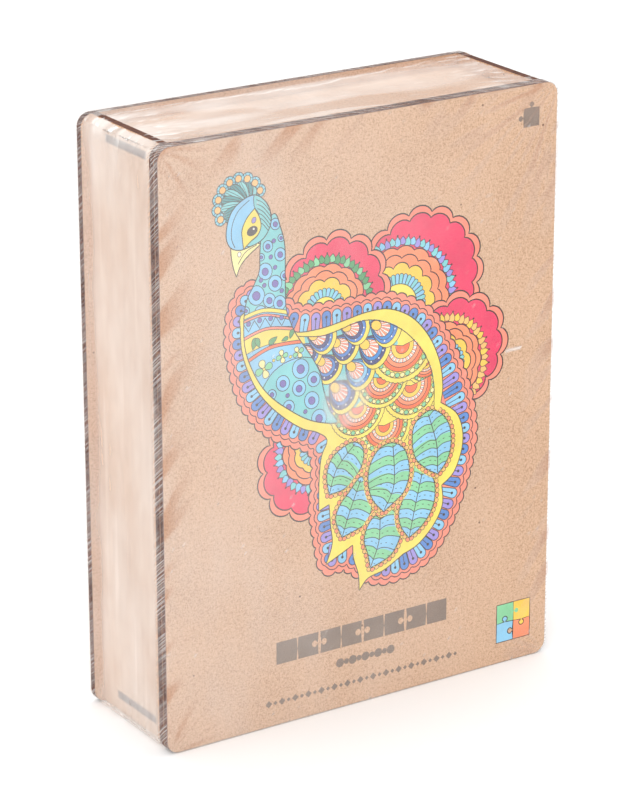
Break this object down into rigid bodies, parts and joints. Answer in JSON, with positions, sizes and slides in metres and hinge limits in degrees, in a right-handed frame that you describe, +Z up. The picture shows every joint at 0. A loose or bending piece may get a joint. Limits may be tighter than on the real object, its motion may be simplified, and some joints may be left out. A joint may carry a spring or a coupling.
{
  "type": "boxed jigsaw puzzle",
  "caption": "Laser-cut wooden box with a lift-off lid and clear shrink film, holding an interlocking wooden jigsaw in the shape of a bird.",
  "frame": {"origin": "middle of the wrapped box's footprint, on the surface it stands on", "axes": "+X to the right seen from the front, +Z up the box's longest side, -Y out of the lid"},
  "size_m": [0.174, 0.0584, 0.2327],
  "materials": {
    "bare_board": "raw fibreboard with burnt laser-cut edges",
    "printed_board": "raw fibreboard printed with a many-coloured picture",
    "jigsaw_board": "printed fibreboard with burnt laser-cut edges",
    "clear_film": "thin clear wrinkled shrink film"
  },
  "bodies": {
    "box": {"back_panel": "bare_board", "left_wall": "bare_board", "right_wall": "bare_board", "bottom_wall": "bare_board", "top_wall": "bare_board", "front_frame": "bare_board"},
    "lid": {"lid_panel": "printed_board", "lid_locating_panel": "bare_board"},
    "front_film": {"film_front": "clear_film"},
    "back_film": {"film_back": "clear_film"},
    "piece_01": {"jigsaw_piece_01": "jigsaw_board"},
    "piece_02": {"jigsaw_piece_02": "jigsaw_board"},
    "piece_03": {"jigsaw_piece_03": "jigsaw_board"},
    "piece_04": {"jigsaw_piece_04": "jigsaw_board"},
    "piece_05": {"jigsaw_piece_05": "jigsaw_board"},
    "piece_06": {"jigsaw_piece_06": "jigsaw_board"},
    "piece_07": {"jigsaw_piece_07": "jigsaw_board"},
    "piece_08": {"jigsaw_piece_08": "jigsaw_board"},
    "piece_09": {"jigsaw_piece_09": "jigsaw_board"},
    "piece_10": {"jigsaw_piece_10": "jigsaw_board"},
    "piece_11": {"jigsaw_piece_11": "jigsaw_board"},
    "piece_12": {"jigsaw_piece_12": "jigsaw_board"},
    "piece_13": {"jigsaw_piece_13": "jigsaw_board"},
    "piece_14": {"jigsaw_piece_14": "jigsaw_board"},
    "piece_15": {"jigsaw_piece_15": "jigsaw_board"},
    "piece_16": {"jigsaw_piece_16": "jigsaw_board"},
    "piece_17": {"jigsaw_piece_17": "jigsaw_board"},
    "piece_18": {"jigsaw_piece_18": "jigsaw_board"},
    "piece_19": {"jigsaw_piece_19": "jigsaw_board"},
    "piece_20": {"jigsaw_piece_20": "jigsaw_board"},
    "piece_21": {"jigsaw_piece_21": "jigsaw_board"},
    "piece_22": {"jigsaw_piece_22": "jigsaw_board"},
    "piece_23": {"jigsaw_piece_23": "jigsaw_board"},
    "piece_24": {"jigsaw_piece_24": "jigsaw_board"},
    "piece_25": {"jigsaw_piece_25": "jigsaw_board"},
    "piece_26": {"jigsaw_piece_26": "jigsaw_board"},
    "piece_27": {"jigsaw_piece_27": "jigsaw_board"},
    "piece_28": {"jigsaw_piece_28": "jigsaw_board"},
    "piece_29": {"jigsaw_piece_29": "jigsaw_board"},
    "piece_30": {"jigsaw_piece_30": "jigsaw_board"},
    "piece_31": {"jigsaw_piece_31": "jigsaw_board"},
    "piece_32": {"jigsaw_piece_32": "jigsaw_board"},
    "piece_33": {"jigsaw_piece_33": "jigsaw_board"},
    "piece_34": {"jigsaw_piece_34": "jigsaw_board"},
    "piece_35": {"jigsaw_piece_35": "jigsaw_board"},
    "piece_36": {"jigsaw_piece_36": "jigsaw_board"},
    "piece_37": {"jigsaw_piece_37": "jigsaw_board"},
    "piece_38": {"jigsaw_piece_38": "jigsaw_board"},
    "piece_39": {"jigsaw_piece_39": "jigsaw_board"},
    "piece_40": {"jigsaw_piece_40": "jigsaw_board"},
    "piece_41": {"jigsaw_piece_41": "jigsaw_board"},
    "piece_42": {"jigsaw_piece_42": "jigsaw_board"},
    "piece_43": {"jigsaw_piece_43": "jigsaw_board"},
    "piece_44": {"jigsaw_piece_44": "jigsaw_board"},
    "piece_45": {"jigsaw_piece_45": "jigsaw_board"},
    "piece_46": {"jigsaw_piece_46": "jigsaw_board"},
    "piece_47": {"jigsaw_piece_47": "jigsaw_board"},
    "pieces_48_49": {"jigsaw_pieces_48_49": "jigsaw_board"},
    "pieces_50_51": {"jigsaw_pieces_50_51": "jigsaw_board"},
    "pieces_52_53": {"jigsaw_pieces_52_53": "jigsaw_board"}
  },
  "joints": [
    {"name": "lid_lift", "type": "slide", "parent": "box", "child": "lid", "axis": [0, -1, 0], "range_m": [0, 0.1]},
    {"name": "front_film_pull", "type": "slide", "parent": "lid", "child": "front_film", "axis": [0, -1, 0], "range_m": [0, 0.1]},
    {"name": "back_film_pull", "type": "slide", "parent": "box", "child": "back_film", "axis": [0, 1, 0], "range_m": [0, 0.1]},
    {"name": "piece_01_lift", "type": "slide", "parent": "box", "child": "piece_01", "axis": [0, -1, 0], "range_m": [0, 0.035]},
    {"name": "piece_02_lift", "type": "slide", "parent": "box", "child": "piece_02", "axis": [0, -1, 0], "range_m": [0, 0.035]},
    {"name": "piece_03_lift", "type": "slide", "parent": "box", "child": "piece_03", "axis": [0, -1, 0], "range_m": [0, 0.035]},
    {"name": "piece_04_lift", "type": "slide", "parent": "box", "child": "piece_04", "axis": [0, -1, 0], "range_m": [0, 0.035]},
    {"name": "piece_05_lift", "type": "slide", "parent": "box", "child": "piece_05", "axis": [0, -1, 0], "range_m": [0, 0.035]},
    {"name": "piece_06_lift", "type": "slide", "parent": "box", "child": "piece_06", "axis": [0, -1, 0], "range_m": [0, 0.035]},
    {"name": "piece_07_lift", "type": "slide", "parent": "box", "child": "piece_07", "axis": [0, -1, 0], "range_m": [0, 0.035]},
    {"name": "piece_08_lift", "type": "slide", "parent": "box", "child": "piece_08", "axis": [0, -1, 0], "range_m": [0, 0.035]},
    {"name": "piece_09_lift", "type": "slide", "parent": "box", "child": "piece_09", "axis": [0, -1, 0], "range_m": [0, 0.035]},
    {"name": "piece_10_lift", "type": "slide", "parent": "box", "child": "piece_10", "axis": [0, -1, 0], "range_m": [0, 0.035]},
    {"name": "piece_11_lift", "type": "slide", "parent": "box", "child": "piece_11", "axis": [0, -1, 0], "range_m": [0, 0.035]},
    {"name": "piece_12_lift", "type": "slide", "parent": "box", "child": "piece_12", "axis": [0, -1, 0], "range_m": [0, 0.035]},
    {"name": "piece_13_lift", "type": "slide", "parent": "box", "child": "piece_13", "axis": [0, -1, 0], "range_m": [0, 0.035]},
    {"name": "piece_14_lift", "type": "slide", "parent": "box", "child": "piece_14", "axis": [0, -1, 0], "range_m": [0, 0.035]},
    {"name": "piece_15_lift", "type": "slide", "parent": "box", "child": "piece_15", "axis": [0, -1, 0], "range_m": [0, 0.035]},
    {"name": "piece_16_lift", "type": "slide", "parent": "box", "child": "piece_16", "axis": [0, -1, 0], "range_m": [0, 0.035]},
    {"name": "piece_17_lift", "type": "slide", "parent": "box", "child": "piece_17", "axis": [0, -1, 0], "range_m": [0, 0.035]},
    {"name": "piece_18_lift", "type": "slide", "parent": "box", "child": "piece_18", "axis": [0, -1, 0], "range_m": [0, 0.035]},
    {"name": "piece_19_lift", "type": "slide", "parent": "box", "child": "piece_19", "axis": [0, -1, 0], "range_m": [0, 0.035]},
    {"name": "piece_20_lift", "type": "slide", "parent": "box", "child": "piece_20", "axis": [0, -1, 0], "range_m": [0, 0.035]},
    {"name": "piece_21_lift", "type": "slide", "parent": "box", "child": "piece_21", "axis": [0, -1, 0], "range_m": [0, 0.035]},
    {"name": "piece_22_lift", "type": "slide", "parent": "box", "child": "piece_22", "axis": [0, -1, 0], "range_m": [0, 0.035]},
    {"name": "piece_23_lift", "type": "slide", "parent": "box", "child": "piece_23", "axis": [0, -1, 0], "range_m": [0, 0.035]},
    {"name": "piece_24_lift", "type": "slide", "parent": "box", "child": "piece_24", "axis": [0, -1, 0], "range_m": [0, 0.035]},
    {"name": "piece_25_lift", "type": "slide", "parent": "box", "child": "piece_25", "axis": [0, -1, 0], "range_m": [0, 0.035]},
    {"name": "piece_26_lift", "type": "slide", "parent": "box", "child": "piece_26", "axis": [0, -1, 0], "range_m": [0, 0.035]},
    {"name": "piece_27_lift", "type": "slide", "parent": "box", "child": "piece_27", "axis": [0, -1, 0], "range_m": [0, 0.035]},
    {"name": "piece_28_lift", "type": "slide", "parent": "box", "child": "piece_28", "axis": [0, -1, 0], "range_m": [0, 0.035]},
    {"name": "piece_29_lift", "type": "slide", "parent": "box", "child": "piece_29", "axis": [0, -1, 0], "range_m": [0, 0.035]},
    {"name": "piece_30_lift", "type": "slide", "parent": "box", "child": "piece_30", "axis": [0, -1, 0], "range_m": [0, 0.035]},
    {"name": "piece_31_lift", "type": "slide", "parent": "box", "child": "piece_31", "axis": [0, -1, 0], "range_m": [0, 0.035]},
    {"name": "piece_32_lift", "type": "slide", "parent": "box", "child": "piece_32", "axis": [0, -1, 0], "range_m": [0, 0.035]},
    {"name": "piece_33_lift", "type": "slide", "parent": "box", "child": "piece_33", "axis": [0, -1, 0], "range_m": [0, 0.035]},
    {"name": "piece_34_lift", "type": "slide", "parent": "box", "child": "piece_34", "axis": [0, -1, 0], "range_m": [0, 0.035]},
    {"name": "piece_35_lift", "type": "slide", "parent": "box", "child": "piece_35", "axis": [0, -1, 0], "range_m": [0, 0.035]},
    {"name": "piece_36_lift", "type": "slide", "parent": "box", "child": "piece_36", "axis": [0, -1, 0], "range_m": [0, 0.035]},
    {"name": "piece_37_lift", "type": "slide", "parent": "box", "child": "piece_37", "axis": [0, -1, 0], "range_m": [0, 0.035]},
    {"name": "piece_38_lift", "type": "slide", "parent": "box", "child": "piece_38", "axis": [0, -1, 0], "range_m": [0, 0.035]},
    {"name": "piece_39_lift", "type": "slide", "parent": "box", "child": "piece_39", "axis": [0, -1, 0], "range_m": [0, 0.035]},
    {"name": "piece_40_lift", "type": "slide", "parent": "box", "child": "piece_40", "axis": [0, -1, 0], "range_m": [0, 0.035]},
    {"name": "piece_41_lift", "type": "slide", "parent": "box", "child": "piece_41", "axis": [0, -1, 0], "range_m": [0, 0.035]},
    {"name": "piece_42_lift", "type": "slide", "parent": "box", "child": "piece_42", "axis": [0, -1, 0], "range_m": [0, 0.035]},
    {"name": "piece_43_lift", "type": "slide", "parent": "box", "child": "piece_43", "axis": [0, -1, 0], "range_m": [0, 0.035]},
    {"name": "piece_44_lift", "type": "slide", "parent": "box", "child": "piece_44", "axis": [0, -1, 0], "range_m": [0, 0.035]},
    {"name": "piece_45_lift", "type": "slide", "parent": "box", "child": "piece_45", "axis": [0, -1, 0], "range_m": [0, 0.035]},
    {"name": "piece_46_lift", "type": "slide", "parent": "box", "child": "piece_46", "axis": [0, -1, 0], "range_m": [0, 0.035]},
    {"name": "piece_47_lift", "type": "slide", "parent": "box", "child": "piece_47", "axis": [0, -1, 0], "range_m": [0, 0.035]},
    {"name": "pieces_48_49_lift", "type": "slide", "parent": "box", "child": "pieces_48_49", "axis": [0, -1, 0], "range_m": [0, 0.035]},
    {"name": "pieces_50_51_lift", "type": "slide", "parent": "box", "child": "pieces_50_51", "axis": [0, -1, 0], "range_m": [0, 0.035]},
    {"name": "pieces_52_53_lift", "type": "slide", "parent": "box", "child": "pieces_52_53", "axis": [0, -1, 0], "range_m": [0, 0.035]}
  ]
}
